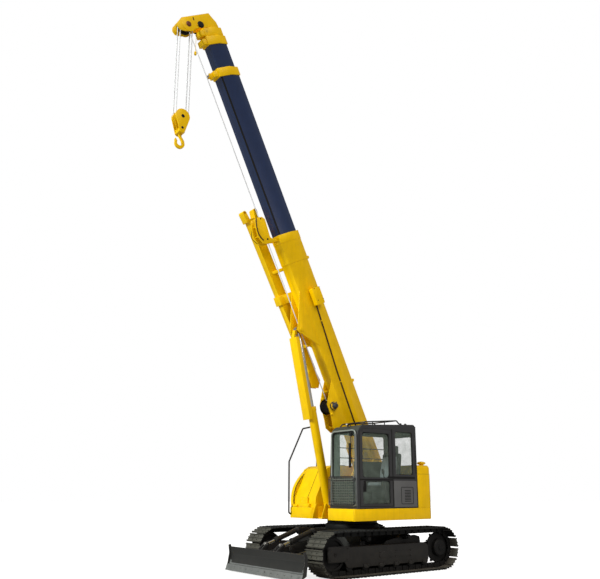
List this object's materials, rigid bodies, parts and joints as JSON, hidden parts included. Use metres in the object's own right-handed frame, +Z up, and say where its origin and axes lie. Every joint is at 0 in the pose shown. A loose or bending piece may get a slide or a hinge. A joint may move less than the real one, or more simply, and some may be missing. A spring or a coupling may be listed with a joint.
{
  "type": "crawler crane with telescopic boom",
  "caption": "Tracked crane with a telescopic box boom, luffing cylinder, winch, hook block, stowed fly jib, side cab and dozer blade.",
  "frame": {"origin": "on the slewing axis at ground level", "axes": "+X to the front of the machine, +Y to its left, +Z up"},
  "size_m": [6.2926, 2.49, 11.268],
  "materials": {
    "yellow_paint": "gloss paint, lightly weathered",
    "navy_paint": "gloss paint",
    "dark_paint": "satin paint",
    "black_paint": "satin paint",
    "track_steel": "worn dark steel",
    "bright_steel": "bare machined steel",
    "chrome_rod": "hard chrome",
    "rope_wire": "galvanised wire",
    "cab_glass": "tinted glass",
    "seat_fabric": "woven",
    "console_plastic": "moulded",
    "engine_iron": "painted casting"
  },
  "bodies": {
    "undercarriage": {"carbody": "black_paint", "slew_ring": "bright_steel", "track_frame_left": "black_paint", "track_frame_right": "black_paint", "track_left": "track_steel", "track_right": "track_steel", "rollers_left": "black_paint", "rollers_right": "black_paint", "idler_left": "black_paint", "idler_right": "black_paint", "sprocket_left": "black_paint", "sprocket_right": "black_paint"},
    "blade": {"dozer_blade": "dark_paint"},
    "blade_barrel_left": {"blade_barrel_left": "dark_paint"},
    "blade_rod_left": {"blade_rod_left": "chrome_rod"},
    "blade_barrel_right": {"blade_barrel_right": "dark_paint"},
    "blade_rod_right": {"blade_rod_right": "chrome_rod"},
    "upperworks": {"upper_frame": "yellow_paint", "left_deck": "yellow_paint", "right_deck": "yellow_paint", "counterweight": "yellow_paint", "left_housing": "yellow_paint", "right_cover": "yellow_paint", "engine_block": "engine_iron", "handrail": "black_paint", "cab_shell": "dark_paint", "cab_door": "dark_paint", "cab_glass": "cab_glass", "operator_seat": "seat_fabric", "control_console": "console_plastic", "front_guard": "black_paint", "roof_rails": "black_paint"},
    "hood": {"engine_hood": "yellow_paint"},
    "boom": {"boom_base": "yellow_paint", "winch_frame": "yellow_paint", "sensor_box": "yellow_paint", "fly_jib": "yellow_paint", "jib_brackets": "yellow_paint"},
    "winch_drum": {"winch_drum": "rope_wire"},
    "luff_barrel": {"luff_barrel": "yellow_paint"},
    "luff_rod": {"luff_rod": "chrome_rod", "rod_guard": "yellow_paint"},
    "section_2": {"boom_section_2": "navy_paint"},
    "section_3": {"boom_section_3": "navy_paint"},
    "section_4": {"boom_section_4": "navy_paint"},
    "boom_tip": {"boom_head": "yellow_paint", "head_sheaves": "dark_paint"},
    "hook_falls": {"rope_falls": "rope_wire", "hook_block": "yellow_paint"},
    "hook": {"hook": "yellow_paint"}
  },
  "joints": [
    {"name": "slew", "type": "hinge", "parent": "undercarriage", "child": "upperworks", "pos_m": [0, 0, 0.9], "axis": [0, 0, 1], "continuous": true},
    {"name": "blade_lift", "type": "hinge", "parent": "undercarriage", "child": "blade", "pos_m": [1.25, 0, 0.42], "axis": [0, -1, 0], "range_deg": [-12, 20]},
    {"name": "blade_barrel_left_swing", "type": "hinge", "parent": "undercarriage", "child": "blade_barrel_left", "pos_m": [1.215, 0.25, 0.79], "axis": [0, -1, 0], "range_deg": [-10.16, 16.8]},
    {"name": "blade_rod_left_slide", "type": "slide", "parent": "blade_barrel_left", "child": "blade_rod_left", "axis": [0.948, 0, -0.3181], "range_m": [-0.1211, 0.073]},
    {"name": "blade_barrel_right_swing", "type": "hinge", "parent": "undercarriage", "child": "blade_barrel_right", "pos_m": [1.215, -0.25, 0.79], "axis": [0, -1, 0], "range_deg": [-10.16, 16.8]},
    {"name": "blade_rod_right_slide", "type": "slide", "parent": "blade_barrel_right", "child": "blade_rod_right", "axis": [0.948, 0, -0.3181], "range_m": [-0.1211, 0.073]},
    {"name": "hood_lid", "type": "hinge", "parent": "upperworks", "child": "hood", "pos_m": [-1.08, 0, 2.02], "axis": [0, 1, 0], "range_deg": [0, 55]},
    {"name": "luff", "type": "hinge", "parent": "upperworks", "child": "boom", "pos_m": [-0.6, -0.1, 2.06], "axis": [0, -1, 0], "range_deg": [-64.3, 13.7]},
    {"name": "luff_barrel_swing", "type": "hinge", "parent": "upperworks", "child": "luff_barrel", "pos_m": [0.52, -0.1, 1.12], "axis": [0, -1, 0], "range_deg": [-63.21, 13.63]},
    {"name": "luff_rod_slide", "type": "slide", "parent": "luff_barrel", "child": "luff_rod", "axis": [0.2169, 0, 0.9762], "range_m": [-1.5193, 0.3253]},
    {"name": "winch_spin", "type": "hinge", "parent": "boom", "child": "winch_drum", "pos_m": [0.50469, -0.1, 3.24851], "axis": [0, 1, 0], "continuous": true},
    {"name": "extend_2", "type": "slide", "parent": "boom", "child": "section_2", "axis": [0.4337, 0, 0.9011], "range_m": [-3.505, 0]},
    {"name": "extend_3", "type": "slide", "parent": "section_2", "child": "section_3", "axis": [0.4337, 0, 0.9011], "range_m": [-0.515, 2.99]},
    {"name": "extend_4", "type": "slide", "parent": "section_3", "child": "section_4", "axis": [0.4337, 0, 0.9011], "range_m": [0, 3.48]},
    {"name": "extend_5", "type": "slide", "parent": "section_4", "child": "boom_tip", "axis": [0.4337, 0, 0.9011], "range_m": [0, 3.48]},
    {"name": "falls_plumb", "type": "hinge", "parent": "boom_tip", "child": "hook_falls", "pos_m": [4.25047, -0.1, 10.8057], "axis": [0, -1, 0], "range_deg": [-13.9, 64.5]},
    {"name": "hook_swivel", "type": "hinge", "parent": "hook_falls", "child": "hook", "pos_m": [4.25047, -0.1, 8.3947], "axis": [0, 0, 1], "continuous": true}
  ],
  "couplings": [
    {"joint": "blade_barrel_left_swing", "follows": "blade_lift", "ratio": 0.83},
    {"joint": "blade_rod_left_slide", "follows": "blade_lift", "m_per_rad": -0.344},
    {"joint": "blade_barrel_right_swing", "follows": "blade_lift", "ratio": 0.83},
    {"joint": "blade_rod_right_slide", "follows": "blade_lift", "m_per_rad": -0.344},
    {"joint": "luff_barrel_swing", "follows": "luff", "ratio": 0.98},
    {"joint": "luff_rod_slide", "follows": "luff", "m_per_rad": 1.352},
    {"joint": "falls_plumb", "follows": "luff", "ratio": -1}
  ]
}
